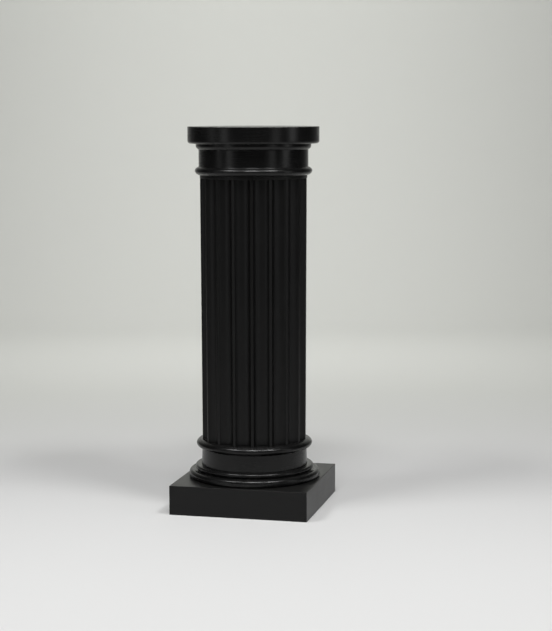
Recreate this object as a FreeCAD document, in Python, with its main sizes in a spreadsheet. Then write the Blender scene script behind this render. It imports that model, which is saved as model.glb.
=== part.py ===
import FreeCAD, Part
import math
import os

import Sketcher

# Fluted column pedestal, all sizes in millimetres.
# The origin is the centre of the plinth's underside, on the floor, with +Z up the column's axis.
# The plinth's sides run along X and Y, and -Y is the front.
# Coopered shaft, turned mouldings and a boxed plinth, drawn together by one rod from below.

SIZES = {
    # Plinth: four mitred side boards round a top board, with a glue block in each corner.
    "plinth_side": 274.0,
    "plinth_height": 57.5,
    "board_thickness": 18.0,
    "plinth_round": 1.2,
    "block_leg": 44.0,
    "block_lift": 4.0,
    # Base moulding: a rim with a rounded edge, a cove, and a small bead under the neck.
    "moulding_height": 25.0,
    "rim_radius": 130.0,
    "rim_undercut": 4.0,
    "rim_band": 4.0,
    "rim_round": 7.0,
    "cove_radius": 8.0,
    "small_bead": 4.2,
    "small_bead_seat": 113.3,
    # The same bead is turned on the lower collar and on the upper collar.
    "bead_radius": 115.0,
    "bead_depth": 15.4,
    "bead_rise": 9.5,
    # Lower collar: a neck that narrows upwards, then the bead that the shaft stands on.
    "lower_collar_height": 51.5,
    "lower_neck_foot": 105.2,
    "lower_neck_head": 103.8,
    "lower_bead_drop": 9.15,
    # Shaft: it widens a little upwards, and each stave carries two of its flutes.
    "shaft_length": 521.5,
    "shaft_foot": 103.5,
    "shaft_head": 105.4,
    "turning_allowance": 3.0,
    "stave_flat": 80.0,
    "stave_count": 9.0,
    "shaft_turn": 12.0,
    "flute_depth": 10.5,
    "flute_cutter": 17.5,
    "flute_stop": 5.5,
    "flute_overrun": 2.0,
    "plug_thickness": 25.0,
    # Upper collar: the bead under the neck.
    "upper_collar_height": 50.5,
    "upper_neck": 107.4,
    "upper_bead_lift": 8.7,
    # Ovolo ring and top disc.
    "ovolo_height": 11.3,
    "ovolo_foot": 108.4,
    "ovolo_radius": 113.0,
    "ovolo_curve_height": 7.0,
    "ovolo_curve": 9.0,
    "top_radius": 129.0,
    "top_height": 32.7,
    "top_lower_round": 5.5,
    "top_upper_round": 0.8,
    # Tie rod, its nut and washer below, and the threaded insert in the top disc.
    "rod_diameter": 10.0,
    "rod_tail": 7.0,
    "rod_chamfer": 1.0,
    "thread_gap": 0.05,
    "bore_diameter": 12.0,
    "washer_diameter": 40.0,
    "washer_thickness": 3.0,
    "washer_bore": 10.5,
    "nut_flats": 17.0,
    "nut_height": 8.0,
    "insert_diameter": 16.0,
    "insert_length": 20.0,
    "insert_flange": 24.0,
    "insert_flange_thickness": 2.0,
    "insert_fit": 0.05,
    # Dowels that register each joint of the column.
    "dowel_diameter": 8.0,
    "dowel_length": 30.0,
    "dowel_chamfer": 1.0,
    "dowel_fit": 0.05,
    "dowel_end_gap": 1.0,
    "dowel_circle": 60.0,
    # Pan-head screws up through the corner blocks into the plinth's top board.
    "screw_diameter": 4.0,
    "screw_length": 40.0,
    "screw_head": 8.0,
    "screw_head_height": 3.0,
    "screw_head_round": 0.8,
    "screw_recess": 8.0,
    "screw_tip": 4.0,
    "screw_fit": 0.05,
    "screw_inset": 14.0,
}

DOWELS_PER_JOINT = 4
NUT_SIDES = 6
FULL_TURN = 360.0
QUARTER_TURN = 90.0
CORNERS = ("front_left", "front_right", "back_right", "back_left")
SIDES = ("front", "right", "back", "left")


class Size:
    """A length with its number and the expression that works it out from the sheet."""

    def __init__(self, number, text):
        self.number = number
        self.text = text

    def join(self, other, sign, number):
        return Size(number, f"({self.text} {sign} {other.text})")

    def __add__(self, other):
        other = sized(other)
        return self.join(other, "+", self.number + other.number)

    def __sub__(self, other):
        other = sized(other)
        return self.join(other, "-", self.number - other.number)

    def __mul__(self, other):
        other = sized(other)
        return self.join(other, "*", self.number * other.number)

    def __truediv__(self, other):
        other = sized(other)
        return self.join(other, "/", self.number / other.number)

    def __neg__(self):
        return Size(-self.number, f"(0 - {self.text})")


def sized(value):
    """A Size made from a plain number, or the Size itself."""
    if isinstance(value, Size):
        return value
    return Size(float(value), repr(float(value)))


def sine(angle):
    return Size(math.sin(math.radians(angle.number)), f"sin({angle.text} * 1 deg)")


def cosine(angle):
    return Size(math.cos(math.radians(angle.number)), f"cos({angle.text} * 1 deg)")


def arc(radius, bulge):
    """An outline edge that is a round arc; bulge is +1 when it swells to the right of travel."""
    return {"kind": "arc", "radius": radius, "bulge": bulge}


def bead(centre):
    """An outline edge that is the bead's half ellipse, centred at this height."""
    return {"kind": "bead", "centre": centre}


doc = FreeCAD.newDocument("column_pedestal")
sheet = doc.addObject("Spreadsheet::Sheet", "Sheet")
for row, (alias, number) in enumerate(SIZES.items(), start=1):
    sheet.set(f"A{row}", alias)
    sheet.set(f"B{row}", str(number))
    sheet.setAlias(f"B{row}", alias)
doc.recompute()

dim = {alias: Size(number, f"Sheet.{alias}") for alias, number in SIZES.items()}
ZERO = sized(0)
EIGHTH_TURN = sized(QUARTER_TURN / 2)
OUTWARD = sized(FULL_TURN / 2 + QUARTER_TURN / 2)

# Heights where one piece stands on the next, and the sizes that several pieces share.
half_side = dim["plinth_side"] / 2
inner_half = half_side - dim["board_thickness"]
board_under = dim["plinth_height"] - dim["board_thickness"]
moulding_top = dim["plinth_height"] + dim["moulding_height"]
shaft_bottom = moulding_top + dim["lower_collar_height"]
shaft_top = shaft_bottom + dim["shaft_length"]
ovolo_bottom = shaft_top + dim["upper_collar_height"]
top_bottom = ovolo_bottom + dim["ovolo_height"]
bore = dim["bore_diameter"] / 2
rod_radius = dim["rod_diameter"] / 2
thread_bore = rod_radius + dim["thread_gap"]
dowel_hole = dim["dowel_diameter"] / 2 + dim["dowel_fit"]
dowel_reach = dim["dowel_length"] / 2
hole_depth = dowel_reach + dim["dowel_end_gap"]
cap_reach = (dim["dowel_length"] - dim["ovolo_height"]) / 2
cap_hole_depth = cap_reach + dim["dowel_end_gap"]
block_height = board_under - dim["block_lift"]
screw_hole = dim["screw_diameter"] / 2 + dim["screw_fit"]
screw_spot = inner_half - dim["screw_inset"]
screw_circle = screw_spot * math.sqrt(2)
screw_foot = dim["block_lift"] + dim["screw_recess"] - dim["screw_head_height"]
nut_bottom = board_under - dim["washer_thickness"] - dim["nut_height"]
stave_angle = sized(FULL_TURN) / dim["stave_count"]
flute_pitch = stave_angle / 2


def origin_feature(body, role):
    for feature in body.Origin.OriginFeatures:
        if feature.Role == role:
            return feature
    raise ValueError(role)


def new_body(name, height=ZERO, turn=ZERO):
    """A body standing at a height, turned about the column's axis."""
    body = doc.addObject("PartDesign::Body", name)
    body.Label = name
    spin = FreeCAD.Rotation(FreeCAD.Vector(0, 0, 1), turn.number)
    body.Placement = FreeCAD.Placement(FreeCAD.Vector(0, 0, height.number), spin)
    body.setExpression("Placement.Base.z", height.text)
    if turn is not ZERO:
        body.setExpression("Placement.Rotation.Angle", turn.text)
    return body


def new_sketch(body, name, role="XZ_Plane", lift=ZERO, turn=ZERO):
    """A sketch on one of the body's own planes, lifted along and turned about the plane's normal."""
    sketch = body.newObject("Sketcher::SketchObject", f"{body.Name}_{name}")
    sketch.AttachmentSupport = [(origin_feature(body, role), "")]
    sketch.MapMode = "FlatFace"
    spin = FreeCAD.Rotation(FreeCAD.Vector(0, 0, 1), turn.number)
    sketch.AttachmentOffset = FreeCAD.Placement(FreeCAD.Vector(0, 0, lift.number), spin)
    if lift is not ZERO:
        sketch.setExpression("AttachmentOffset.Base.z", lift.text)
    if turn is not ZERO:
        sketch.setExpression("AttachmentOffset.Rotation.Angle", turn.text)
    return sketch


def hold(sketch, kind, places, size):
    """Add a dimension to the sketch and bind it to the sheet."""
    index = sketch.addConstraint(Sketcher.Constraint(kind, *places, size.number))
    sketch.setExpression(f"Constraints[{index}]", size.text)


def flat(across, up):
    return FreeCAD.Vector(across, up, 0)


def arc_geometry(start, end, edge):
    """The round arc between two points, swelling to the side that its bulge gives."""
    chord = end - start
    radius = edge["radius"].number
    to_centre = math.sqrt(radius ** 2 - (chord.Length / 2) ** 2)
    right = flat(chord.y, -chord.x).normalize()
    middle = (start + end) / 2
    centre = middle - right * to_centre * edge["bulge"]
    crown = centre + right * radius * edge["bulge"]
    return Part.Arc(start, crown, end)


def bead_geometry(start, end, edge):
    """The part of the bead's ellipse that runs from the lower point to the upper one."""
    depth = dim["bead_depth"].number
    rise = dim["bead_rise"].number
    centre = flat(SIZES["bead_radius"] - depth, edge["centre"].number)
    ellipse = Part.Ellipse(centre + flat(depth, 0), centre + flat(0, rise), centre)
    return Part.ArcOfEllipse(ellipse, ellipse.parameter(start), ellipse.parameter(end))


def edge_ends(sketch, index, start):
    """Which end of this edge is its start, because an arc may be stored the other way round."""
    if (sketch.getPoint(index, 1) - start).Length < (sketch.getPoint(index, 2) - start).Length:
        return 1, 2
    return 2, 1


def hold_bead(sketch, index, edge):
    """Fix the bead's ellipse by its centre and its two half-axes."""
    first_axis = sketch.GeometryCount
    sketch.exposeInternalGeometry(index)
    hold(sketch, "DistanceX", (-1, 1, index, 3), dim["bead_radius"] - dim["bead_depth"])
    hold(sketch, "DistanceY", (-1, 1, index, 3), edge["centre"])
    sketch.addConstraint(Sketcher.Constraint("Horizontal", first_axis))
    hold(sketch, "Distance", (first_axis,), dim["bead_depth"] * 2)
    hold(sketch, "Distance", (first_axis + 1,), dim["bead_rise"] * 2)


def corner_point(corners, position):
    """Where a corner starts out, with the bead's ellipse giving a coordinate that is None."""
    across, up, edge = corners[position]
    if across is not None and up is not None:
        return flat(across.number, up.number)
    lower_end = edge is not None and edge["kind"] == "bead"
    centre = (edge if lower_end else corners[position - 1][2])["centre"].number
    seat = SIZES["bead_radius"] - SIZES["bead_depth"]
    if up is None:
        share = (across.number - seat) / SIZES["bead_depth"]
        offset = SIZES["bead_rise"] * math.sqrt(1 - share ** 2)
        return flat(across.number, centre - offset if lower_end else centre + offset)
    share = (up.number - centre) / SIZES["bead_rise"]
    return flat(seat + SIZES["bead_depth"] * math.sqrt(1 - share ** 2), up.number)


def draw_outline(sketch, corners):
    """Draw a closed outline from corners of (across, up, edge to the next corner or None).

    A corner that lies on the bead has None for the one coordinate that the bead decides.
    """
    points = [corner_point(corners, position) for position in range(len(corners))]
    geometry = []
    edges = [edge for across, up, edge in corners]
    for start, end, edge in zip(points, points[1:] + points[:1], edges):
        if edge is None:
            geometry.append(Part.LineSegment(start, end))
        elif edge["kind"] == "arc":
            geometry.append(arc_geometry(start, end, edge))
        else:
            geometry.append(bead_geometry(start, end, edge))
    for piece in geometry:
        sketch.addGeometry(piece, False)
    ends = [edge_ends(sketch, index, points[index]) for index in range(len(points))]
    for index, (across, up, edge) in enumerate(corners):
        before = index - 1 if index else len(corners) - 1
        sketch.addConstraint(
            Sketcher.Constraint("Coincident", before, ends[before][1], index, ends[index][0]))
        if across is not None:
            hold(sketch, "DistanceX", (-1, 1, index, ends[index][0]), across)
        if up is not None:
            hold(sketch, "DistanceY", (-1, 1, index, ends[index][0]), up)
        if edge is not None and edge["kind"] == "arc":
            hold(sketch, "Radius", (index,), edge["radius"])
    for index, edge in enumerate(edges):
        if edge is not None and edge["kind"] == "bead":
            hold_bead(sketch, index, edge)


def turned(body, corners, name="outline"):
    """Turn an outline of (radius, height, edge) about the column's axis."""
    sketch = new_sketch(body, name)
    draw_outline(sketch, corners)
    turning = body.newObject("PartDesign::Revolution", f"{body.Name}_turning")
    turning.Profile = sketch
    turning.ReferenceAxis = (sketch, ["V_Axis"])
    turning.Angle = FULL_TURN
    body.Tip = turning
    return turning


def padded(body, sketch, height):
    pad = body.newObject("PartDesign::Pad", f"{body.Name}_pad")
    pad.Profile = sketch
    pad.setExpression("Length", height.text)
    body.Tip = pad
    return pad


def drill(body, name, radius, ceiling, depth, across, count=1, turn=ZERO):
    """Drill holes down from a ceiling height, spaced evenly round the axis."""
    sketch = new_sketch(body, f"{name}_sketch", "XY_Plane", ceiling, turn)
    circle = Part.Circle()
    circle.Center = flat(across.number, 0)
    circle.Radius = radius.number
    sketch.addGeometry(circle, False)
    hold(sketch, "Radius", (0,), radius)
    sketch.addConstraint(Sketcher.Constraint("PointOnObject", 0, 3, -1))
    hold(sketch, "DistanceX", (-1, 1, 0, 3), across)
    pocket = body.newObject("PartDesign::Pocket", f"{body.Name}_{name}")
    pocket.Profile = sketch
    pocket.setExpression("Length", depth.text)
    body.Tip = pocket
    if count > 1:
        pattern = body.newObject("PartDesign::PolarPattern", f"{body.Name}_{name}_ring")
        pattern.Originals = [pocket]
        pattern.Axis = (origin_feature(body, "Z_Axis"), [""])
        pattern.Angle = FULL_TURN
        pattern.Occurrences = count
        body.Tip = pattern


def dowel_holes(body, name, ceiling, depth, turn=EIGHTH_TURN):
    drill(body, name, dowel_hole, ceiling, depth, dim["dowel_circle"], DOWELS_PER_JOINT, turn)


def compound(name, pieces):
    group = doc.addObject("Part::Compound", name)
    group.Label = name
    group.Links = pieces
    return group


parts = []


def plinth_boards():
    """Side boards cut from one outer block, so that its rounded edges run on across the mitres."""
    block = new_body("plinth_block")
    sketch = new_sketch(block, "square", "XY_Plane")
    draw_outline(sketch, [
        (-half_side, -half_side, None),
        (half_side, -half_side, None),
        (half_side, half_side, None),
        (-half_side, half_side, None),
    ])
    pad = padded(block, sketch, dim["plinth_height"])
    doc.recompute()
    rounded = [f"Edge{number}" for number, edge in enumerate(pad.Shape.Edges, start=1)
               if edge.BoundBox.ZMax > SIZES["plinth_height"] / 2]
    rounding = block.newObject("PartDesign::Fillet", "plinth_rounding")
    rounding.Base = (pad, rounded)
    rounding.setExpression("Radius", dim["plinth_round"].text)
    block.Tip = rounding
    for number, side in enumerate(SIDES):
        wedge = new_body(f"plinth_wedge_{side}", turn=sized(QUARTER_TURN * number))
        sketch = new_sketch(wedge, "mitres", "XY_Plane")
        draw_outline(sketch, [
            (-half_side, -half_side, None),
            (half_side, -half_side, None),
            (inner_half, -inner_half, None),
            (-inner_half, -inner_half, None),
        ])
        padded(wedge, sketch, dim["plinth_height"])
        board = doc.addObject("Part::Common", f"plinth_{side}_board")
        board.Label = f"plinth_{side}_board"
        board.Base = block
        board.Tool = wedge
        parts.append(board)


def plinth_top_board():
    body = new_body("plinth_top_board", board_under)
    sketch = new_sketch(body, "square", "XY_Plane")
    draw_outline(sketch, [
        (-inner_half, -inner_half, None),
        (inner_half, -inner_half, None),
        (inner_half, inner_half, None),
        (-inner_half, inner_half, None),
    ])
    thickness = dim["board_thickness"]
    padded(body, sketch, thickness)
    drill(body, "bore", bore, thickness, thickness, ZERO)
    dowel_holes(body, "dowel_holes", thickness, hole_depth)
    bite = screw_foot + dim["screw_length"] - board_under + dim["dowel_end_gap"]
    drill(body, "screw_holes", screw_hole, bite, bite, screw_circle, len(CORNERS), EIGHTH_TURN)
    parts.append(body)


def corner_blocks():
    """Triangular glue blocks, each with a counterbored hole for its screw."""
    for number, corner in enumerate(CORNERS):
        body = new_body(f"corner_block_{corner}", dim["block_lift"], sized(QUARTER_TURN * number))
        sketch = new_sketch(body, "triangle", "XY_Plane")
        draw_outline(sketch, [
            (-inner_half, -inner_half, None),
            (dim["block_leg"] - inner_half, -inner_half, None),
            (-inner_half, dim["block_leg"] - inner_half, None),
        ])
        padded(body, sketch, block_height)
        head_hole = dim["screw_head"] / 2 + dim["thread_gap"]
        recess = dim["screw_recess"]
        drill(body, "screw_hole", screw_hole, block_height, block_height, screw_circle, 1, OUTWARD)
        drill(body, "head_recess", head_hole, recess, recess, screw_circle, 1, OUTWARD)
        parts.append(body)


def plinth_screws():
    """Screws with a pan head, a plain shank and a pointed end."""
    shank = dim["screw_diameter"] / 2
    head = dim["screw_head"] / 2
    edge = dim["screw_head_round"]
    screws = []
    for corner in CORNERS:
        body = new_body(f"plinth_screw_{corner}", screw_foot)
        body.setExpression("Placement.Base.x", (screw_spot if "right" in corner else -screw_spot).text)
        body.setExpression("Placement.Base.y", (screw_spot if "back" in corner else -screw_spot).text)
        turned(body, [
            (ZERO, ZERO, None),
            (head - edge, ZERO, arc(edge, 1)),
            (head, edge, None),
            (head, dim["screw_head_height"], None),
            (shank, dim["screw_head_height"], None),
            (shank, dim["screw_length"] - dim["screw_tip"], None),
            (ZERO, dim["screw_length"], None),
        ])
        screws.append(body)
    parts.append(compound("plinth_screws", screws))


def base_moulding():
    """A rim over an undercut, a cove, and a small bead for the neck to stand on."""
    body = new_body("base_moulding", dim["plinth_height"])
    height = dim["moulding_height"]
    rim = dim["rim_radius"]
    band_top = dim["rim_undercut"] + dim["rim_band"]
    small = dim["small_bead"]
    seat = dim["small_bead_seat"]
    turned(body, [
        (bore, ZERO, None),
        (rim - dim["rim_undercut"], ZERO, arc(dim["rim_undercut"], 1)),
        (rim, dim["rim_undercut"], None),
        (rim, band_top, arc(dim["rim_round"], 1)),
        (rim - dim["rim_round"], band_top + dim["rim_round"], arc(dim["cove_radius"], -1)),
        (seat, height - small * 2, arc(small, 1)),
        (seat + small, height - small, arc(small, 1)),
        (seat, height, None),
        (bore, height, None),
    ])
    dowel_holes(body, "lower_dowel_holes", hole_depth, hole_depth)
    dowel_holes(body, "upper_dowel_holes", height, hole_depth, ZERO)
    parts.append(body)


def lower_collar():
    """The lower neck and the bead that the shaft stands on."""
    body = new_body("lower_collar", moulding_top)
    height = dim["lower_collar_height"]
    turned(body, [
        (bore, ZERO, None),
        (dim["lower_neck_foot"], ZERO, None),
        (dim["lower_neck_head"], None, bead(height - dim["lower_bead_drop"])),
        (None, height, None),
        (bore, height, None),
    ])
    dowel_holes(body, "lower_dowel_holes", hole_depth, hole_depth, ZERO)
    dowel_holes(body, "upper_dowel_holes", height, hole_depth)
    parts.append(body)


def staves():
    """Coopered staves: sawn as wedges, turned to the shaft's taper, then fluted to a square stop."""
    length = dim["shaft_length"]
    blank = dim["shaft_head"] + dim["turning_allowance"]
    for number in range(int(SIZES["stave_count"])):
        turn = dim["shaft_turn"] + stave_angle * number
        body = new_body(f"shaft_stave_{number + 1}", shaft_bottom, turn)
        wedge = new_sketch(body, "wedge", "XY_Plane", ZERO, flute_pitch / 2)
        draw_wedge(wedge, blank)
        padded(body, wedge, length)
        taper = new_sketch(body, "taper")
        beyond = blank + dim["turning_allowance"]
        draw_outline(taper, [
            (dim["shaft_foot"], ZERO, None),
            (beyond, ZERO, None),
            (beyond, length, None),
            (dim["shaft_head"], length, None),
        ])
        groove(body, taper, "turning", "V_Axis")
        flute = new_sketch(body, "flute")
        draw_flute(flute, length)
        first = groove(body, flute, "first_flute", "Axis0")
        pattern = body.newObject("PartDesign::PolarPattern", f"{body.Name}_second_flute")
        pattern.Originals = [first]
        pattern.Axis = (origin_feature(body, "Z_Axis"), [""])
        pattern.setExpression("Angle", flute_pitch.text)
        pattern.Occurrences = 2
        body.Tip = pattern
        parts.append(body)


def groove(body, sketch, name, axis):
    """Turn a sketch away from the body, and check that it cut something."""
    doc.recompute()
    before = body.Shape.Volume
    cut = body.newObject("PartDesign::Groove", f"{body.Name}_{name}")
    cut.Profile = sketch
    cut.ReferenceAxis = (sketch, [axis])
    cut.Angle = FULL_TURN
    body.Tip = cut
    doc.recompute()
    if body.Shape.Volume >= before:
        raise ValueError(cut.Name)
    return cut


def draw_wedge(sketch, radius):
    """A stave's section: a round outer face, two faces that point at the axis, a flat inner face."""
    half = math.radians(stave_angle.number / 2)
    inner = dim["stave_flat"].number
    low = flat(math.cos(half), -math.sin(half)) * radius.number
    high = flat(math.cos(half), math.sin(half)) * radius.number
    inner_high = flat(inner, inner * math.tan(half))
    inner_low = flat(inner, -inner * math.tan(half))
    sketch.addGeometry(Part.Arc(low, flat(radius.number, 0), high), False)
    sketch.addGeometry(Part.LineSegment(high, inner_high), False)
    sketch.addGeometry(Part.LineSegment(inner_high, inner_low), False)
    sketch.addGeometry(Part.LineSegment(inner_low, low), False)
    for index in range(4):
        before = (index - 1) % 4
        sketch.addConstraint(Sketcher.Constraint("Coincident", before, 2, index, 1))
    sketch.addConstraint(Sketcher.Constraint("Coincident", 0, 3, -1, 1))
    sketch.addConstraint(Sketcher.Constraint("Vertical", 2))
    sketch.addConstraint(Sketcher.Constraint("PointOnObject", -1, 1, 1))
    sketch.addConstraint(Sketcher.Constraint("PointOnObject", -1, 1, 3))
    sketch.addConstraint(Sketcher.Constraint("Symmetric", 0, 1, 0, 2, -1))
    hold(sketch, "Radius", (0,), radius)
    hold(sketch, "DistanceX", (-1, 1, 2, 1), dim["stave_flat"])
    hold(sketch, "DistanceY", (0, 1, 0, 2), radius * 2 * sine(stave_angle / 2))


def draw_flute(sketch, length):
    """Half of the flute's round section, run up a line that follows the shaft's taper to a square end."""
    cutter = dim["flute_cutter"]
    outside = cutter - dim["flute_depth"]
    overrun = dim["flute_overrun"]
    stop = length - dim["flute_stop"]
    foot = flat((dim["shaft_foot"] + outside).number, -overrun.number)
    head = flat((dim["shaft_head"] + outside).number, stop.number)
    across = flat(-cutter.number, 0)
    sketch.addGeometry(Part.LineSegment(foot, head), True)
    sketch.addGeometry(Part.LineSegment(foot, foot + across), False)
    sketch.addGeometry(Part.LineSegment(foot + across, head + across), False)
    sketch.addGeometry(Part.LineSegment(head + across, head), False)
    sketch.addGeometry(Part.LineSegment(head, foot), False)
    for first, second in ((1, 2), (2, 3), (3, 4), (4, 1)):
        sketch.addConstraint(Sketcher.Constraint("Coincident", first, 2, second, 1))
    sketch.addConstraint(Sketcher.Constraint("Coincident", 0, 1, 1, 1))
    sketch.addConstraint(Sketcher.Constraint("Coincident", 0, 2, 4, 1))
    sketch.addConstraint(Sketcher.Constraint("Horizontal", 1))
    sketch.addConstraint(Sketcher.Constraint("Horizontal", 3))
    hold(sketch, "DistanceX", (-1, 1, 0, 1), dim["shaft_foot"] + outside)
    hold(sketch, "DistanceY", (-1, 1, 0, 1), -overrun)
    hold(sketch, "DistanceX", (-1, 1, 0, 2), dim["shaft_head"] + outside)
    hold(sketch, "DistanceY", (-1, 1, 0, 2), stop)
    hold(sketch, "DistanceX", (1, 2, 1, 1), cutter)
    hold(sketch, "DistanceX", (3, 1, 3, 2), cutter)


def prism(name, sides, flat_radius, height, bottom, turn):
    """A regular prism given by the distance from its axis to its flats."""
    solid = doc.addObject("Part::Prism", name)
    solid.Polygon = sides
    half = sized(FULL_TURN / sides / 2)
    solid.setExpression("Circumradius", (flat_radius / cosine(half)).text)
    solid.setExpression("Height", height.text)
    solid.setExpression("Placement.Base.z", bottom.text)
    solid.setExpression("Placement.Rotation.Angle", turn.text)
    return solid


def rod_hole(name, radius, height, bottom, across=ZERO, along=ZERO):
    """A round tool for cutting a hole."""
    tool = doc.addObject("Part::Cylinder", name)
    tool.setExpression("Radius", radius.text)
    tool.setExpression("Height", height.text)
    tool.setExpression("Placement.Base.x", across.text)
    tool.setExpression("Placement.Base.y", along.text)
    tool.setExpression("Placement.Base.z", bottom.text)
    return tool


def cut_holes(name, solid, holes):
    """A solid with its holes cut out, under its own name."""
    tools = doc.addObject("Part::Compound", f"{name}_holes")
    tools.Links = holes
    result = doc.addObject("Part::Cut", name)
    result.Label = name
    result.Base = solid
    result.Tool = tools
    parts.append(result)


def shaft_plugs():
    """Nine-sided blocks glued inside the ends of the shaft."""
    thickness = dim["plug_thickness"]
    turn = dim["shaft_turn"] + flute_pitch / 2 - stave_angle / 2
    diagonal = dim["dowel_circle"] / math.sqrt(2)
    for name, bottom, hole_bottom in (
            ("bottom_plug", shaft_bottom, shaft_bottom),
            ("top_plug", shaft_top - thickness, shaft_top - hole_depth)):
        solid = prism(f"{name}_blank", int(SIZES["stave_count"]), dim["stave_flat"], thickness, bottom, turn)
        holes = [rod_hole(f"{name}_bore", bore, thickness, bottom)]
        for number, (across, along) in enumerate(
                ((diagonal, diagonal), (-diagonal, diagonal), (-diagonal, -diagonal), (diagonal, -diagonal))):
            holes.append(rod_hole(f"{name}_dowel_hole_{number + 1}", dowel_hole, hole_depth,
                                  hole_bottom, across, along))
        cut_holes(name, solid, holes)


def upper_collar():
    """The upper bead and the neck above it."""
    body = new_body("upper_collar", shaft_top)
    height = dim["upper_collar_height"]
    turned(body, [
        (bore, ZERO, None),
        (None, ZERO, bead(dim["upper_bead_lift"])),
        (dim["upper_neck"], None, None),
        (dim["upper_neck"], height, None),
        (bore, height, None),
    ])
    dowel_holes(body, "lower_dowel_holes", hole_depth, hole_depth)
    dowel_holes(body, "upper_dowel_holes", height, cap_hole_depth)
    parts.append(body)


def ovolo_ring():
    """The quarter-round moulding that carries the top disc."""
    body = new_body("ovolo_ring", ovolo_bottom)
    height = dim["ovolo_height"]
    turned(body, [
        (bore, ZERO, None),
        (dim["ovolo_foot"], ZERO, arc(dim["ovolo_curve"], 1)),
        (dim["ovolo_radius"], dim["ovolo_curve_height"], None),
        (dim["ovolo_radius"], height, None),
        (bore, height, None),
    ])
    dowel_holes(body, "dowel_holes", height, height)
    parts.append(body)


def top_disc():
    """The round top, solid above and recessed below for the threaded insert."""
    body = new_body("top_disc", top_bottom)
    height = dim["top_height"]
    radius = dim["top_radius"]
    lower = dim["top_lower_round"]
    upper = dim["top_upper_round"]
    flange = dim["insert_flange"] / 2 + dim["insert_fit"]
    sleeve = dim["insert_diameter"] / 2 + dim["insert_fit"]
    depth = dim["insert_length"] + dim["dowel_end_gap"]
    turned(body, [
        (flange, ZERO, None),
        (radius - lower, ZERO, arc(lower, 1)),
        (radius, lower, None),
        (radius, height - upper, arc(upper, 1)),
        (radius - upper, height, None),
        (ZERO, height, None),
        (ZERO, depth, None),
        (sleeve, depth, None),
        (sleeve, dim["insert_flange_thickness"], None),
        (flange, dim["insert_flange_thickness"], None),
    ])
    dowel_holes(body, "dowel_holes", cap_hole_depth, cap_hole_depth)
    parts.append(body)


def top_insert():
    body = new_body("top_insert", top_bottom)
    flange = dim["insert_flange"] / 2
    sleeve = dim["insert_diameter"] / 2
    turned(body, [
        (thread_bore, ZERO, None),
        (flange, ZERO, None),
        (flange, dim["insert_flange_thickness"], None),
        (sleeve, dim["insert_flange_thickness"], None),
        (sleeve, dim["insert_length"], None),
        (thread_bore, dim["insert_length"], None),
    ])
    parts.append(body)


def round_bar(body, radius, length, chamfer):
    """A plain round bar with chamfered ends."""
    turned(body, [
        (ZERO, ZERO, None),
        (radius - chamfer, ZERO, None),
        (radius, chamfer, None),
        (radius, length - chamfer, None),
        (radius - chamfer, length, None),
        (ZERO, length, None),
    ])


def tie_rod():
    bottom = nut_bottom - dim["rod_tail"]
    body = new_body("tie_rod", bottom)
    round_bar(body, rod_radius, top_bottom + dim["insert_length"] - bottom, dim["rod_chamfer"])
    parts.append(body)


def rod_washer():
    body = new_body("rod_washer", nut_bottom + dim["nut_height"])
    inner = dim["washer_bore"] / 2
    outer = dim["washer_diameter"] / 2
    turned(body, [
        (inner, ZERO, None),
        (outer, ZERO, None),
        (outer, dim["washer_thickness"], None),
        (inner, dim["washer_thickness"], None),
    ])
    parts.append(body)


def rod_nut():
    height = dim["nut_height"]
    solid = prism("rod_nut_blank", NUT_SIDES, dim["nut_flats"] / 2, height, nut_bottom, ZERO)
    cut_holes("rod_nut", solid, [rod_hole("rod_nut_bore", thread_bore, height, nut_bottom)])


def locating_dowels():
    """Four dowels across each joint of the column."""
    joints = (
        ("plinth", dim["plinth_height"] - dowel_reach, EIGHTH_TURN),
        ("moulding", moulding_top - dowel_reach, ZERO),
        ("lower_collar", shaft_bottom - dowel_reach, EIGHTH_TURN),
        ("upper_collar", shaft_top - dowel_reach, EIGHTH_TURN),
        ("top", ovolo_bottom - cap_reach, EIGHTH_TURN),
    )
    dowels = []
    for joint, bottom, turn in joints:
        for number in range(DOWELS_PER_JOINT):
            angle = turn + FULL_TURN / DOWELS_PER_JOINT * number
            body = new_body(f"dowel_{joint}_{number + 1}", bottom)
            body.setExpression("Placement.Base.x", (dim["dowel_circle"] * cosine(angle)).text)
            body.setExpression("Placement.Base.y", (dim["dowel_circle"] * sine(angle)).text)
            round_bar(body, dim["dowel_diameter"] / 2, dim["dowel_length"], dim["dowel_chamfer"])
            dowels.append(body)
    parts.append(compound("locating_dowels", dowels))


def check(items):
    """Stop before anything is written if an object failed or a shape is not sound."""
    for item in doc.Objects:
        if "Invalid" in item.State or "Error" in item.State:
            raise ValueError(f"{item.Name} did not recompute")
    for item in items:
        if item.Shape.isNull() or not item.Shape.isValid():
            raise ValueError(f"{item.Label} has no sound shape")


for make in (plinth_boards, plinth_top_board, corner_blocks, plinth_screws, base_moulding, lower_collar,
             shaft_plugs, staves, upper_collar, ovolo_ring, top_disc, top_insert, tie_rod, rod_washer,
             rod_nut, locating_dowels):
    make()
doc.recompute()
check(parts)
os.makedirs("parts", exist_ok=True)
for part in parts:
    part.Shape.exportStep(f"parts/{part.Label}.step")
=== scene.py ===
import bisect
import math

import bmesh
import bpy
from mathutils import Matrix, Vector

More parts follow.
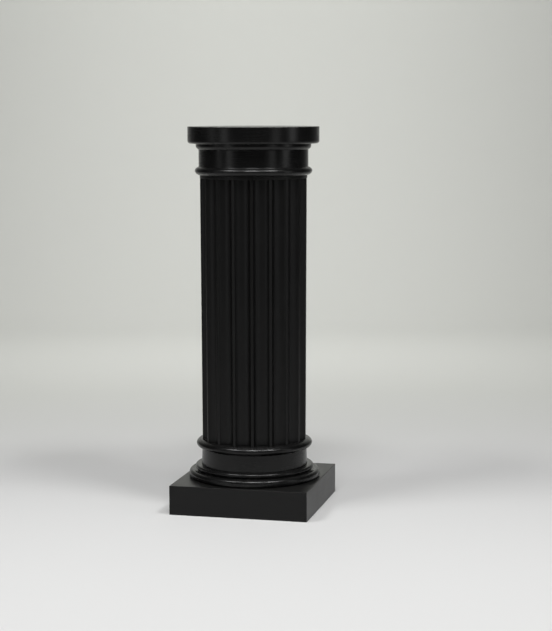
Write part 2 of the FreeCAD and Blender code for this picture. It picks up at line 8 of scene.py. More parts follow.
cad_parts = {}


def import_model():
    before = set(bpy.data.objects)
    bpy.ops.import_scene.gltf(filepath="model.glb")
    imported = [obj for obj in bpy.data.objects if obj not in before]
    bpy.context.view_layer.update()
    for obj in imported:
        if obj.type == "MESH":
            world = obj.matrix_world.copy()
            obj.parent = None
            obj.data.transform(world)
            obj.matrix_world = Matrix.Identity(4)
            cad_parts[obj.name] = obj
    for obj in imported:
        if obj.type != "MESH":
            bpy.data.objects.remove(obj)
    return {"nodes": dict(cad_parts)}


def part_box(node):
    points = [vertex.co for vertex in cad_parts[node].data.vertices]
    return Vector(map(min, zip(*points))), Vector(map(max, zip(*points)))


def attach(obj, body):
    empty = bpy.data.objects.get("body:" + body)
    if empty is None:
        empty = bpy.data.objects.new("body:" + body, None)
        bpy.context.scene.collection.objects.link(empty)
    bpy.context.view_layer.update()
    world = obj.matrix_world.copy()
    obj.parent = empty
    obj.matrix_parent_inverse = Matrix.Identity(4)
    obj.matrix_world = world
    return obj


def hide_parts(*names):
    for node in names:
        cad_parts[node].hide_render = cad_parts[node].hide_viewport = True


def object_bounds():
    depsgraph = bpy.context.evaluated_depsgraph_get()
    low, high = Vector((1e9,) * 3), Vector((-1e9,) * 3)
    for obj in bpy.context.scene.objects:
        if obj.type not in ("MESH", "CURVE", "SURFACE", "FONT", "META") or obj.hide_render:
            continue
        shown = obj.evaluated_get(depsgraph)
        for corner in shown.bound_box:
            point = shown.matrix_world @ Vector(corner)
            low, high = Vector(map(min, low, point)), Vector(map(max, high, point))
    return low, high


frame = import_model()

# Fluted column pedestal in satin black lacquer, standing on a pale studio floor.
# Lengths are in metres and angles in degrees, unless a name says otherwise.

cad_low, cad_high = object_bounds()
MM = 0.001

# The camera, measured from the column's axis and the floor.
CAMERA_AZIMUTH = 14.2
CAMERA_DISTANCE = 3.3434
CAMERA_HEIGHT = 0.7906
CAMERA_TILT = 7.0355
CAMERA_PAN = 0.745
CAMERA_ROLL = -0.1085
CAMERA_LENS_MM = 97.11
CAMERA_SEES_TO = 60.0
CAMERA_FRAME = Matrix.Rotation(math.radians(CAMERA_AZIMUTH), 4, "Z")
SENSOR_MM = 36.0

# The studio: a floor that curves up into a wall behind the column.
FLOOR_REACH = 9.0
WALL_DISTANCE = 2.6
WALL_CURVE = 1.2
WALL_HEIGHT = 6.0
WALL_CURVE_STEPS = 24

# Its paper, one sheet, with painted shade that makes it a little darker and yellower behind the
# column and up the wall. To the sides and in front it gives way to a greyer floor.
PAPER = (0.70, 0.70, 0.695)
# The paper's colour in painted shade, and the distances behind the column over which the painted
# shade takes over.
WALL_PAINTED_SHADE = (0.625, 0.632, 0.598)
WALL_PAINTED_SHADE_START = 0.3
WALL_PAINTED_SHADE_END = 1.3
PAPER_ROUGHNESS = 0.9
FAR_FLOOR = (0.45, 0.45, 0.44)
SCUFFED_FLOOR = (0.43, 0.43, 0.42)
PAPER_REACH = 1.4
FAR_REACH = 3.2

# The even grey light from all round.
AIR = 0.045

# Soft lights, placed in the camera's own directions: azimuth 0 is towards the camera, and 90 is to
# the picture's right. Each aims at the column's middle, or at a spot given as (right, away from the
# camera, up).
LIGHTS = {
    "front_high": {
        "azimuth": -4.0, "elevation": 60.0, "distance": 2.8, "size": (0.9, 0.5), "watts": 41.0,
    },
    "left_high": {
        "azimuth": -60.0, "elevation": 55.0, "distance": 2.6, "size": (0.8, 0.5), "watts": 23.0,
    },
    "right_high": {
        "azimuth": 46.0, "elevation": 57.0, "distance": 2.6, "size": (0.6, 0.5), "watts": 27.0,
    },
    "left_low": {
        "azimuth": -50.0, "elevation": 5.0, "distance": 2.0, "size": (0.4, 0.8), "watts": 1.2,
    },
    "right_low": {
        "azimuth": 38.0, "elevation": 5.0, "distance": 2.0, "size": (0.4, 0.8), "watts": 0.9,
    },
    "left_side": {
        "azimuth": -75.0, "elevation": 15.0, "distance": 2.8, "size": (0.6, 1.8), "watts": 1.8,
    },
    "right_side": {
        "azimuth": 70.0, "elevation": 15.0, "distance": 2.8, "size": (0.6, 1.8), "watts": 4.8,
    },
    "wall_spot": {
        "azimuth": 0.0, "elevation": 38.0, "distance": 2.4, "size": (1.8, 0.6), "watts": 33.0,
        "aim": (0.0, 3.6, 0.4),
    },
    "far_floor": {
        "azimuth": 0.0, "elevation": 90.0, "distance": 3.2, "size": (5.0, 1.5), "watts": 45.0,
        "aim": (0.0, -5.5, 0.0),
    },
}

# The shaft's flutes.
FLUTES_PER_STAVE = 2
FLUTE_CUTTER = 17.5 * MM
FLUTE_DEPTH = 10.5 * MM
FLUTE_STOP = 5.5 * MM
STAVE_FLAT = 80.0 * MM
FLUTE_EDGE = 0.5 * MM

# Turned pieces.
BORE = 6.0 * MM
UNDERCUT = 4.0 * MM
RIM_BAND = 4.0 * MM
RIM_ROUND = 7.0 * MM
COVE_RADIUS = 8.0 * MM
SMALL_BEAD = 4.2 * MM
SMALL_BEAD_SEAT = 113.3 * MM
LOWER_NECK_FOOT = 105.2 * MM
LOWER_NECK_HEAD = 103.8 * MM
LOWER_BEAD_DROP = 9.15 * MM
UPPER_NECK = 107.4 * MM
UPPER_BEAD_LIFT = 8.7 * MM
OVOLO_FOOT = 108.4 * MM
OVOLO_REACH = 113.0 * MM
OVOLO_HEIGHT = 7.0 * MM
OVOLO_RADIUS = 9.0 * MM
DISC_LOWER_EDGE = 5.5 * MM
DISC_UPPER_EDGE = 0.8 * MM
INSERT_HOLE = 8.05 * MM
INSERT_HOLE_DEPTH = 21.0 * MM
INSERT_FLANGE = 12.05 * MM
INSERT_FLANGE_DEPTH = 2.0 * MM

# The bead that both collars share.
BEAD_RADIUS = 115.0 * MM
BEAD_DEPTH = 15.4 * MM
BEAD_RISE = 9.5 * MM

# How far the lacquer rounds a corner, and one more point past each end of the rounding, which keeps
# the faces beyond it flat.
SOFT = 0.7 * MM
SUPPORT = 0.3 * MM

# How finely the meshes are stepped, and what counts as one point or one level.
FLUTE_ROWS = 6
CUTTER_STEPS = 14
EDGE_STEPS = 5
RIB_SHARES = (0.12, 0.5, 1.0)
SOFT_STEPS = 6
ARC_STEPS = 12
BEAD_STEPS = 32
TURN_STEPS = 256
CREASE = math.radians(30.0)
SAME_POINT = 0.002 * MM
NO_LENGTH = 0.001 * MM
SAME_LEVEL = 0.1 * MM

# Most of a noise's values lie between these.
NOISE_LOW = 0.3
NOISE_HIGH = 0.7

# Finishes: colours as (noise value, colour) stops, and the noise scales across and along a piece's
# grain, which draw the grain out.
BLACK = ((NOISE_LOW, (0.0022, 0.0022, 0.0023)), (NOISE_HIGH, (0.0030, 0.0030, 0.0029)))
DUST = ((0.55, (0.012, 0.012, 0.012)), (0.75, (0.055, 0.053, 0.05)))
ZINC = ((NOISE_LOW, (0.50, 0.51, 0.53)), (NOISE_HIGH, (0.66, 0.665, 0.66)))
WOOD = (
    (0.3, (0.36, 0.225, 0.12)),
    (0.48, (0.50, 0.34, 0.195)),
    (0.56, (0.43, 0.28, 0.155)),
    (0.72, (0.57, 0.41, 0.25)),
)
WOOD_ALONG = 0.12
GRAIN_ACROSS = 9.0
GRAIN_ALONG = 0.35
GRAIN = {
    "upright": (GRAIN_ACROSS, GRAIN_ACROSS, GRAIN_ALONG),
    "along_x": (GRAIN_ALONG, GRAIN_ACROSS, GRAIN_ACROSS),
    "along_y": (GRAIN_ACROSS, GRAIN_ALONG, GRAIN_ACROSS),
}

# How little the marks of turning change from one side of the column to the other.
TURNING_DRIFT = 0.02


def new_piece(name, mesh, node, material):
    """A piece that stands for one CAD node and rides on the column."""
    mesh.materials.append(material)
    item = bpy.data.objects.new(name, mesh)
    bpy.context.collection.objects.link(item)
    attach(item, "root")
    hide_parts(node)


def merge_points(shape):
    """Join points that fall together, and drop the edges and faces that this empties."""
    bmesh.ops.remove_doubles(shape, verts=shape.verts, dist=SAME_POINT)
    bmesh.ops.dissolve_degenerate(shape, edges=shape.edges, dist=NO_LENGTH)


def finished_mesh(name, shape):
    """A mesh from a closed bmesh, smooth except across its real edges."""
    bmesh.ops.recalc_face_normals(shape, faces=shape.faces)
    for face in shape.faces:
        face.smooth = True
    for edge in shape.edges:
        edge.smooth = edge.calc_face_angle(math.pi) < CREASE
    mesh = bpy.data.meshes.new(name)
    shape.to_mesh(mesh)
    shape.free()
    return mesh


# Shaft.

def reach_at(node, height):
    """How far a node's mesh reaches from the column's axis at a height."""
    close = [v.co for v in node.data.vertices if abs(v.co.z - height) < SAME_LEVEL]
    return max(math.hypot(point.x, point.y) for point in close)


stave_low, stave_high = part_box("shaft_stave_1")
SHAFT_BOTTOM = stave_low.z
SHAFT_TOP = stave_high.z
SHAFT_FOOT = reach_at(frame["nodes"]["shaft_stave_1"], SHAFT_BOTTOM)
SHAFT_HEAD = reach_at(frame["nodes"]["shaft_stave_1"], SHAFT_TOP)


def shaft_radius(height):
    """The radius over the ribs, on a straight line from the shaft's foot to its head."""
    share = (height - SHAFT_BOTTOM) / (SHAFT_TOP - SHAFT_BOTTOM)
    return SHAFT_FOOT + (SHAFT_HEAD - SHAFT_FOOT) * share


def stave_span(node):
    """The angles of a stave's two glued faces, in radians."""
    middle = sum((v.co for v in node.data.vertices), Vector()) / len(node.data.vertices)
    start = math.atan2(middle.y, middle.x)
    turns = []
    for vertex in node.data.vertices:
        turn = math.atan2(vertex.co.y, vertex.co.x) - start
        turns.append((turn + math.pi) % math.tau - math.pi)
    return start + min(turns), start + max(turns)


def flute_half(height, half_cell):
    """Points of a level slice, from the middle of a flute to the middle of a rib.

    X is outwards and Y runs round the shaft.
    """
    outside = shaft_radius(height)
    centre = outside + FLUTE_CUTTER - FLUTE_DEPTH
    inside = outside - FLUTE_EDGE
    span = FLUTE_CUTTER + FLUTE_EDGE
    edge_angle = math.acos((inside ** 2 + centre ** 2 - span ** 2) / (2 * inside * centre))
    rounding = Vector((inside * math.cos(edge_angle), inside * math.sin(edge_angle), height))
    edge_turn = math.atan2(rounding.y, centre - rounding.x)
    points = []
    for step in range(CUTTER_STEPS):
        turn = edge_turn * step / CUTTER_STEPS
        out = centre - FLUTE_CUTTER * math.cos(turn)
        points.append(Vector((out, FLUTE_CUTTER * math.sin(turn), height)))
    for step in range(EDGE_STEPS + 1):
        turn = -edge_turn + (edge_angle + edge_turn) * step / EDGE_STEPS
        points.append(rounding + Vector((math.cos(turn), math.sin(turn), 0.0)) * FLUTE_EDGE)
    for share in RIB_SHARES:
        angle = edge_angle + (half_cell - edge_angle) * share
        points.append(Vector((outside * math.cos(angle), outside * math.sin(angle), height)))
    return points


def flute_row(height, half_cell):
    """Points of a level slice across one flute, with half a rib on each side."""
    half = flute_half(height, half_cell)
    mirrored = [Vector((point.x, -point.y, point.z)) for point in half[:0:-1]]
    return mirrored + half


def filled_row(row, least, height):
    """A row moved to a height, with every point brought out to at least this reach."""
    moved = []
    for point in row:
        scale = max(1.0, least / math.hypot(point.x, point.y))
        moved.append(Vector((point.x * scale, point.y * scale, height)))
    return moved


def add_grid(shape, rows, turn):
    """Faces between rows of points, each row turned about the column's axis."""
    spin = Matrix.Rotation(turn, 4, "Z")
    grid = [[shape.verts.new(spin @ point) for point in row] for row in rows]
    for low_row, high_row in zip(grid, grid[1:]):
        for a, b, c, d in zip(low_row, low_row[1:], high_row[1:], high_row):
            shape.faces.new((a, b, c, d))


def stave(node):
    """One stave with its two square-ended flutes, and a small rounding on every flute's edge."""
    start, end = stave_span(node)
    half_cell = (end - start) / FLUTES_PER_STAVE / 2
    stop = SHAFT_TOP - FLUTE_STOP
    rows = []
    for step in range(FLUTE_ROWS + 1):
        rows.append(flute_row(SHAFT_BOTTOM + (stop - SHAFT_BOTTOM) * step / FLUTE_ROWS, half_cell))
    last = rows[-1]
    for step in range(EDGE_STEPS + 1):
        turn = math.pi / 2 * step / EDGE_STEPS
        height = stop + FLUTE_EDGE * (1 - math.cos(turn))
        least = shaft_radius(height) - FLUTE_EDGE * (1 - math.sin(turn))
        rows.append(filled_row(last, least, height))
    rows.append(filled_row(last, SHAFT_HEAD, SHAFT_TOP))
    shape = bmesh.new()
    for number in range(FLUTES_PER_STAVE):
        add_grid(shape, rows, start + half_cell * (2 * number + 1))
    merge_points(shape)
    rim = [edge for edge in shape.edges if edge.is_boundary]
    walls = bmesh.ops.extrude_edge_only(shape, edges=rim)["geom"]
    middle = (start + end) / 2
    for vertex in walls:
        if isinstance(vertex, bmesh.types.BMVert):
            angle = math.atan2(vertex.co.y, vertex.co.x)
            reach = STAVE_FLAT / math.cos(angle - middle)
            vertex.co.x = reach * math.cos(angle)
            vertex.co.y = reach * math.sin(angle)
    inner = [edge for edge in shape.edges if edge.is_boundary]
    bmesh.ops.contextual_create(shape, geom=inner)
    return finished_mesh(node.name + "_fluted", shape)


# Turned pieces.

def bend(start, end, radius, bulge):
    """Points along a round arc between two corners.

    It swells to the right of travel when bulge is 1, and to the left when bulge is -1.
    """
    chord = end - start
    right = Vector((chord.y, -chord.x)).normalized()
    to_centre = math.sqrt(max(radius ** 2 - (chord.length / 2) ** 2, 0.0))
    centre = (start + end) / 2 - right * to_centre * bulge
    first = math.atan2(start.y - centre.y, start.x - centre.x)
    sweep = math.atan2(end.y - centre.y, end.x - centre.x) - first
    sweep = (sweep + math.pi) % math.tau - math.pi
    turns = [first + sweep * step / ARC_STEPS for step in range(1, ARC_STEPS)]
    return [centre + Vector((math.cos(turn), math.sin(turn))) * radius for turn in turns]


def bead_point(centre, turn):
    """A point on the bead's half ellipse; turn is 0 where it swells most."""
    out = BEAD_RADIUS - BEAD_DEPTH + BEAD_DEPTH * math.cos(turn)
    return Vector((out, centre + BEAD_RISE * math.sin(turn)))


def bead_turn_at(reach):
    """The turn at which the bead comes in to a reach, measured up or down from its middle."""
    return math.acos((reach - BEAD_RADIUS + BEAD_DEPTH) / BEAD_DEPTH)


def bead_line(centre, first, last):
    """Points along the bead between two turns, both included."""
    turns = [first + (last - first) * step / BEAD_STEPS for step in range(BEAD_STEPS + 1)]
    return [bead_point(centre, turn) for turn in turns]


def softened(points, soft_corners):
    """Round some corners of a closed outline.

    soft_corners gives, for a corner's index, how far along each side its rounding reaches.
    """
    places = [0.0]
    for here, there in zip(points, points[1:] + points[:1]):
        places.append(places[-1] + (there - here).length)
    total = places.pop()

    def along(place):
        place %= total
        index = bisect.bisect_right(places, place) - 1
        here = points[index]
        there = points[(index + 1) % len(points)]
        return here.lerp(there, (place - places[index]) / (there - here).length)

    spans = []
    result = []
    for index, reach in soft_corners.items():
        middle = places[index]
        spans.append((middle - reach - SUPPORT, middle + reach + SUPPORT))
        before = along(middle - reach)
        after = along(middle + reach)
        result.append((middle - reach - SUPPORT, along(middle - reach - SUPPORT)))
        for step in range(SOFT_STEPS + 1):
            share = step / SOFT_STEPS
            point = before.lerp(points[index], share).lerp(points[index].lerp(after, share), share)
            result.append((middle - reach + 2 * reach * share, point))
        result.append((middle + reach + SUPPORT, along(middle + reach + SUPPORT)))
    for place, point in zip(places, points):
        if not any(low <= place <= high for low, high in spans):
            result.append((place, point))
    return [point for place, point in sorted(result, key=lambda item: item[0])]


def lathe(name, outline, node, material):
    """Turn a closed outline about the column's axis. Its items are (radius, height, rounding)."""
    soft = {index: corner[2] for index, corner in enumerate(outline) if corner[2]}
    points = softened([Vector(corner[:2]) for corner in outline], soft)
    shape = bmesh.new()
    rings = []
    for step in range(TURN_STEPS):
        turn = math.tau * step / TURN_STEPS
        across, along = math.cos(turn), math.sin(turn)
        rings.append([shape.verts.new((point.x * across, point.x * along, point.y))
                      for point in points])
    for here, there in zip(rings, rings[1:] + rings[:1]):
        for index in range(len(points)):
            after = (index + 1) % len(points)
            shape.faces.new((here[index], there[index], there[after], here[after]))
    merge_points(shape)
    new_piece(name, finished_mesh(name, shape), node, material)


def plain_points(points):
    return [(point.x, point.y, 0.0) for point in points]


def base_moulding(material):
    """A rim over an undercut, a shallow cove, and a small bead under the neck."""
    low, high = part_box("base_moulding")
    rim = high.x
    undercut = Vector((rim - UNDERCUT, low.z)), Vector((rim, low.z + UNDERCUT))
    shoulder = undercut[1].y + RIM_BAND
    rounding = Vector((rim, shoulder)), Vector((rim - RIM_ROUND, shoulder + RIM_ROUND))
    seat = Vector((SMALL_BEAD_SEAT, high.z - 2 * SMALL_BEAD))
    swell = Vector((SMALL_BEAD_SEAT + SMALL_BEAD, high.z - SMALL_BEAD))
    top = Vector((SMALL_BEAD_SEAT, high.z))
    outline = [(BORE, low.z, 0.0), (undercut[0].x, undercut[0].y, 0.0)]
    outline += plain_points(bend(*undercut, UNDERCUT, 1) + [undercut[1], rounding[0]])
    outline += plain_points(bend(*rounding, RIM_ROUND, 1))
    outline += [(rounding[1].x, rounding[1].y, SOFT)]
    outline += plain_points(bend(rounding[1], seat, COVE_RADIUS, -1))
    outline += [(seat.x, seat.y, SOFT)]
    outline += plain_points(bend(seat, swell, SMALL_BEAD, 1) + [swell])
    outline += plain_points(bend(swell, top, SMALL_BEAD, 1))
    outline += [(top.x, top.y, 0.0), (BORE, high.z, 0.0)]
    lathe("base_moulding_turned", outline, "base_moulding", material)


def lower_collar(material):
    """The lower neck, which narrows a little upwards, and the bead over it."""
    low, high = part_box("lower_collar")
    line = bead_line(high.z - LOWER_BEAD_DROP, -bead_turn_at(LOWER_NECK_HEAD),
                     math.asin(LOWER_BEAD_DROP / BEAD_RISE))
    outline = [(BORE, low.z, 0.0), (LOWER_NECK_FOOT, low.z, 0.0), (line[0].x, line[0].y, SOFT)]
    outline += plain_points(line[1:]) + [(BORE, high.z, 0.0)]
    lathe("lower_collar_turned", outline, "lower_collar", material)


def upper_collar(material):
    """The bead over the shaft, and the upper neck."""
    low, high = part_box("upper_collar")
    line = bead_line(low.z + UPPER_BEAD_LIFT, -math.asin(UPPER_BEAD_LIFT / BEAD_RISE),
                     bead_turn_at(UPPER_NECK))
    outline = [(BORE, low.z, 0.0)] + plain_points(line[:-1])
    outline += [(line[-1].x, line[-1].y, SOFT), (UPPER_NECK, high.z, 0.0), (BORE, high.z, 0.0)]
    lathe("upper_collar_turned", outline, "upper_collar", material)


def ovolo_ring(material):
    """The round moulding that carries the disc."""
    low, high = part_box("ovolo_ring")
    foot = Vector((OVOLO_FOOT, low.z))
    swell = Vector((OVOLO_REACH, low.z + OVOLO_HEIGHT))
    outline = [(BORE, low.z, 0.0), (foot.x, foot.y, 0.0)]
    outline += plain_points(bend(foot, swell, OVOLO_RADIUS, 1))
    outline += [(swell.x, swell.y, SOFT), (swell.x, high.z, 0.0), (BORE, high.z, 0.0)]
    lathe("ovolo_ring_turned", outline, "ovolo_ring", material)


def top_disc(material):
    """The disc, with a large rounding below, a small one above, and the hole for its insert."""
    low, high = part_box("top_disc")
    radius = high.x
    lower_start = Vector((radius - DISC_LOWER_EDGE, low.z))
    lower_end = Vector((radius, low.z + DISC_LOWER_EDGE))
    upper_start = Vector((radius, high.z - DISC_UPPER_EDGE))
    upper_end = Vector((radius - DISC_UPPER_EDGE, high.z))
    hole_top = low.z + INSERT_HOLE_DEPTH
    flange_top = low.z + INSERT_FLANGE_DEPTH
    outline = [(INSERT_FLANGE, low.z, 0.0), (lower_start.x, lower_start.y, 0.0)]
    outline += plain_points(bend(lower_start, lower_end, DISC_LOWER_EDGE, 1))
    outline += plain_points([lower_end, upper_start])
    outline += plain_points(bend(upper_start, upper_end, DISC_UPPER_EDGE, 1))
    outline += [(upper_end.x, high.z, 0.0), (upper_end.x - SUPPORT, high.z, 0.0)]
    outline += [(0.0, high.z, 0.0), (0.0, hole_top, 0.0), (INSERT_HOLE, hole_top, 0.0)]
    outline += [(INSERT_HOLE, flange_top, 0.0), (INSERT_FLANGE, flange_top, 0.0)]
    lathe("top_disc_turned", outline, "top_disc", material)


# Materials.

class Paint:
    """A node material under construction, with short ways to add its nodes."""

    def __init__(self, name):
        self.material = bpy.data.materials.new(name)
        self.material.use_nodes = True
        self.nodes = self.material.node_tree.nodes
        self.links = self.material.node_tree.links
        self.shader = self.nodes["Principled BSDF"]
        place = self.nodes.new("ShaderNodeTexCoord")
        self.place = place.outputs["Object"]

    def math(self, operation, first, second=None):
        node = self.nodes.new("ShaderNodeMath")
        node.operation = operation
        for socket, value in zip(node.inputs, (first, second)):
            if isinstance(value, float):
                socket.default_value = value
            elif value is not None:
                self.links.new(value, socket)
        return node.outputs["Value"]

    def stretched(self, stretch):
        mapping = self.nodes.new("ShaderNodeMapping")
        mapping.inputs["Scale"].default_value = stretch
        self.links.new(self.place, mapping.inputs["Vector"])
        return mapping.outputs["Vector"]

    def round_axis(self):
        """Coordinates that hardly change round the column's axis, for marks left by turning."""
        split = self.nodes.new("ShaderNodeSeparateXYZ")
        self.links.new(self.place, split.inputs["Vector"])
        across = self.math("MULTIPLY", split.outputs["X"], split.outputs["X"])
        along = self.math("MULTIPLY", split.outputs["Y"], split.outputs["Y"])
        reach = self.math("SQRT", self.math("ADD", across, along))
        drift = self.math("MULTIPLY", split.outputs["X"], TURNING_DRIFT)
        join = self.nodes.new("ShaderNodeCombineXYZ")
        self.links.new(reach, join.inputs["X"])
        self.links.new(drift, join.inputs["Y"])
        self.links.new(split.outputs["Z"], join.inputs["Z"])
        return join.outputs["Vector"]

    def noise(self, vector, scale, detail=3.0, roughness=0.5):
        node = self.nodes.new("ShaderNodeTexNoise")
        node.inputs["Scale"].default_value = scale
        node.inputs["Detail"].default_value = detail
        node.inputs["Roughness"].default_value = roughness
        self.links.new(vector, node.inputs["Vector"])
        return node.outputs["Fac"]

    def spread(self, value, low, high, start=NOISE_LOW, end=NOISE_HIGH):
        """Map what lies between start and end on to the range from low to high."""
        node = self.nodes.new("ShaderNodeMapRange")
        node.inputs["From Min"].default_value = start
        node.inputs["From Max"].default_value = end
        node.inputs["To Min"].default_value = low
        node.inputs["To Max"].default_value = high
        self.links.new(value, node.inputs["Value"])
        return node.outputs["Result"]

    def bump(self, height, strength, distance, under=None):
        node = self.nodes.new("ShaderNodeBump")
        node.inputs["Strength"].default_value = strength
        node.inputs["Distance"].default_value = distance
        self.links.new(height, node.inputs["Height"])
        if under is not None:
            self.links.new(under, node.inputs["Normal"])
        return node.outputs["Normal"]

    def ramp(self, value, stops):
        node = self.nodes.new("ShaderNodeValToRGB")
        ramp = node.color_ramp
        while len(ramp.elements) < len(stops):
            ramp.elements.new(1.0)
        for element, (position, colour) in zip(ramp.elements, stops):
            element.position = position
            element.color = (*colour, 1.0)
        self.links.new(value, node.inputs["Fac"])
        return node.outputs["Color"]

    def mixed(self, share, first, second):
        node = self.nodes.new("ShaderNodeMix")
        node.data_type = "RGBA"
        self.links.new(share, node.inputs["Factor"])
        self.links.new(first, node.inputs["A"])
        self.links.new(second, node.inputs["B"])
        return node.outputs["Result"]

    def facing_up(self):
        geometry = self.nodes.new("ShaderNodeNewGeometry")
        split = self.nodes.new("ShaderNodeSeparateXYZ")
        self.links.new(geometry.outputs["Normal"], split.inputs["Vector"])
        return split.outputs["Z"]

    def feed(self, socket, value):
        self.links.new(value, self.shader.inputs[socket])


def lacquer(name, marks, roughness, specular):
    """Satin black lacquer, and the marks of turning or grain that show through it."""
    paint = Paint(name)
    clouds = paint.noise(paint.place, scale=9.0, detail=4.0, roughness=0.6)
    if marks == "turned":
        lines = paint.noise(paint.round_axis(), scale=900.0, detail=2.0, roughness=0.6)
    else:
        lines = paint.noise(paint.stretched(GRAIN[marks]), scale=60.0, detail=5.0, roughness=0.65)
    peel = paint.noise(paint.place, scale=340.0, detail=2.0)
    specks = paint.noise(paint.place, scale=1500.0, detail=1.0)
    black = paint.ramp(clouds, BLACK)
    dust = paint.ramp(specks, DUST)
    level = paint.spread(paint.facing_up(), low=0.0, high=1.0, start=0.6, end=1.0)
    settled = paint.math("MULTIPLY", level, paint.spread(clouds, low=0.15, high=0.6))
    paint.feed("Base Color", paint.mixed(settled, black, dust))
    uneven = paint.spread(clouds, *roughness)
    paint.feed("Roughness", paint.math("ADD", uneven, paint.spread(lines, low=-0.012, high=0.018)))
    paint.shader.inputs["Specular IOR Level"].default_value = specular
    normal = paint.bump(lines, strength=0.1, distance=0.25 * MM)
    paint.feed("Normal", paint.bump(peel, strength=0.08, distance=0.4 * MM, under=normal))
    return paint.material


def studio_paper():
    """Matt paper with painted shade behind the column and up the wall, and the greyer floor to its
    sides and in front.
    """
    paint = Paint("studio_paper")
    split = paint.nodes.new("ShaderNodeSeparateXYZ")
    paint.links.new(paint.place, split.inputs["Vector"])
    right, away = split.outputs["X"], split.outputs["Y"]
    front = paint.math("MINIMUM", away, 0.0)
    squares = paint.math("ADD", paint.math("MULTIPLY", right, right),
                         paint.math("MULTIPLY", front, front))
    reach = paint.math("SQRT", squares)
    share = paint.spread(reach, low=0.0, high=1.0, start=PAPER_REACH, end=FAR_REACH)
    # Painted shade: the paper darkens from its floor colour to its shaded colour between two
    # distances behind the column.
    wall_shade_share = paint.spread(away, low=0.0, high=1.0, start=WALL_PAINTED_SHADE_START, end=WALL_PAINTED_SHADE_END)
    paper = paint.ramp(wall_shade_share, ((0.0, PAPER), (1.0, WALL_PAINTED_SHADE)))
    scuffs = paint.noise(paint.place, scale=3.0)
    worn = paint.ramp(scuffs, ((NOISE_LOW, FAR_FLOOR), (NOISE_HIGH, SCUFFED_FLOOR)))
    paint.feed("Base Color", paint.mixed(share, paper, worn))
    paint.shader.inputs["Roughness"].default_value = PAPER_ROUGHNESS
    return paint.material


def bare_wood(name, stretch):
    """Planed hardwood with its growth lines and pores."""
    paint = Paint(name)
    vector = paint.stretched(stretch)
    rings = paint.noise(vector, scale=16.0, detail=6.0, roughness=0.62)
    pores = paint.noise(vector, scale=220.0, detail=2.0)
    paint.feed("Base Color", paint.ramp(rings, WOOD))
    paint.feed("Roughness", paint.spread(rings, low=0.62, high=0.8))
    paint.feed("Normal", paint.bump(pores, strength=0.25, distance=0.3 * MM))
    return paint.material


def zinc(name):
    """Bright zinc plating, faintly mottled and pitted."""
    paint = Paint(name)
    patches = paint.noise(paint.place, scale=260.0, detail=4.0, roughness=0.6)
    pits = paint.noise(paint.place, scale=1400.0, detail=2.0)
    paint.feed("Base Color", paint.ramp(patches, ZINC))
    paint.shader.inputs["Metallic"].default_value = 1.0
    paint.feed("Roughness", paint.spread(patches, low=0.26, high=0.42))
    paint.feed("Normal", paint.bump(pits, strength=0.1, distance=0.1 * MM))
    return paint.material


# Studio.

def camera():
    data = bpy.data.cameras.new("camera")
    data.lens = CAMERA_LENS_MM
    data.sensor_width = SENSOR_MM
    data.clip_end = CAMERA_SEES_TO
    item = bpy.data.objects.new("camera", data)
    bpy.context.collection.objects.link(item)
    azimuth = math.radians(CAMERA_AZIMUTH)
    right = CAMERA_DISTANCE * math.sin(azimuth)
    front = CAMERA_DISTANCE * math.cos(azimuth)
    pan = Matrix.Rotation(azimuth - math.radians(CAMERA_PAN), 4, "Z")
    tilt = Matrix.Rotation(math.radians(90.0 - CAMERA_TILT), 4, "X")
    roll = Matrix.Rotation(math.radians(CAMERA_ROLL), 4, "Z")
    place = Matrix.Translation((right, -front, CAMERA_HEIGHT))
    item.matrix_world = place @ pan @ tilt @ roll
    bpy.context.scene.camera = item


def area_light(name, azimuth, elevation, distance, size, watts, aim=None):
    """A soft light that shines on its aim from a direction given in the camera's own frame."""
    data = bpy.data.lights.new(name, "AREA")
    data.shape = "RECTANGLE"
    data.size, data.size_y = size
    data.energy = watts
    item = bpy.data.objects.new(name, data)
    bpy.context.collection.objects.link(item)
    turn = math.radians(azimuth)
    rise = math.radians(elevation)
    level = math.cos(rise)
    away = Vector((math.sin(turn) * level, -math.cos(turn) * level, math.sin(rise)))
    target = Vector(aim or (0.0, 0.0, (cad_low.z + cad_high.z) / 2))
    facing = (-away).to_track_quat("-Z", "Y").to_matrix().to_4x4()
    item.matrix_world = CAMERA_FRAME @ Matrix.Translation(target + away * distance) @ facing


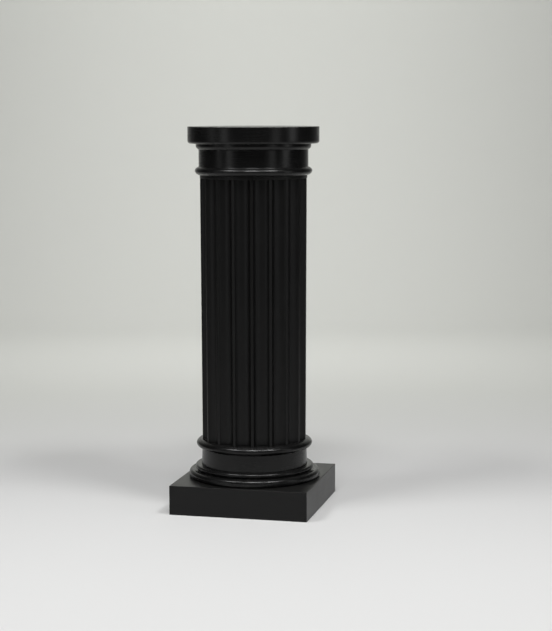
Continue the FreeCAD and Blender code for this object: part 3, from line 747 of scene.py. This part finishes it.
def studio():
    """The floor and the wall it curves up into, square to the camera."""
    profile = [(-FLOOR_REACH, 0.0), (WALL_DISTANCE, 0.0)]
    for step in range(1, WALL_CURVE_STEPS + 1):
        angle = math.pi / 2 * step / WALL_CURVE_STEPS
        reach = WALL_DISTANCE + WALL_CURVE * math.sin(angle)
        profile.append((reach, WALL_CURVE * (1 - math.cos(angle))))
    profile.append((WALL_DISTANCE + WALL_CURVE, WALL_HEIGHT))
    sides = (-FLOOR_REACH, FLOOR_REACH)
    points = [(side, reach, rise) for side in sides for reach, rise in profile]
    count = len(profile)
    faces = [(i, i + 1, count + i + 1, count + i) for i in range(count - 1)]
    mesh = bpy.data.meshes.new("studio")
    mesh.from_pydata(points, [], faces)
    mesh.shade_smooth()
    mesh.materials.append(studio_paper())
    item = bpy.data.objects.new("studio", mesh)
    bpy.context.collection.objects.link(item)
    item.matrix_world = CAMERA_FRAME


def world():
    air = bpy.data.worlds.new("studio_air")
    air.use_nodes = True
    air.node_tree.nodes["Background"].inputs["Color"].default_value = (AIR, AIR, AIR, 1.0)
    bpy.context.scene.world = air


camera()
studio()
world()
for light, numbers in LIGHTS.items():
    area_light(light, **numbers)
bpy.context.scene.view_settings.view_transform = "Standard"

turned_lacquer = lacquer("lacquer_turned", "turned", roughness=(0.235, 0.285), specular=0.3)
shaft_lacquer = lacquer("lacquer_shaft", "upright", roughness=(0.34, 0.40), specular=0.225)
board_lacquer_x = lacquer("lacquer_boards_front", "along_x", roughness=(0.31, 0.37), specular=0.27)
board_lacquer_y = lacquer("lacquer_boards_side", "along_y", roughness=(0.31, 0.37), specular=0.3)
wood_upright = bare_wood("wood_upright", (1.0, 1.0, WOOD_ALONG))
wood_along_x = bare_wood("wood_along_x", (WOOD_ALONG, 1.0, 1.0))
metal = zinc("zinc_plating")

for make in (base_moulding, lower_collar, upper_collar, ovolo_ring, top_disc):
    make(turned_lacquer)

CAD_FINISH = {
    "plinth_front_board": board_lacquer_x,
    "plinth_back_board": board_lacquer_x,
    "plinth_left_board": board_lacquer_y,
    "plinth_right_board": board_lacquer_y,
    "plinth_top_board": board_lacquer_x,
    "bottom_plug": wood_upright,
    "top_plug": wood_upright,
    "locating_dowels": wood_upright,
    "plinth_screws": metal,
    "tie_rod": metal,
    "rod_washer": metal,
    "rod_nut": metal,
    "top_insert": metal,
}
for name, node in frame["nodes"].items():
    if name.startswith("shaft_stave"):
        new_piece(name + "_fluted", stave(node), name, shaft_lacquer)
        finish = shaft_lacquer
    elif name.startswith("corner_block"):
        finish = wood_along_x
    else:
        finish = CAD_FINISH.get(name, turned_lacquer)
    for slot in node.material_slots:
        slot.material = finish
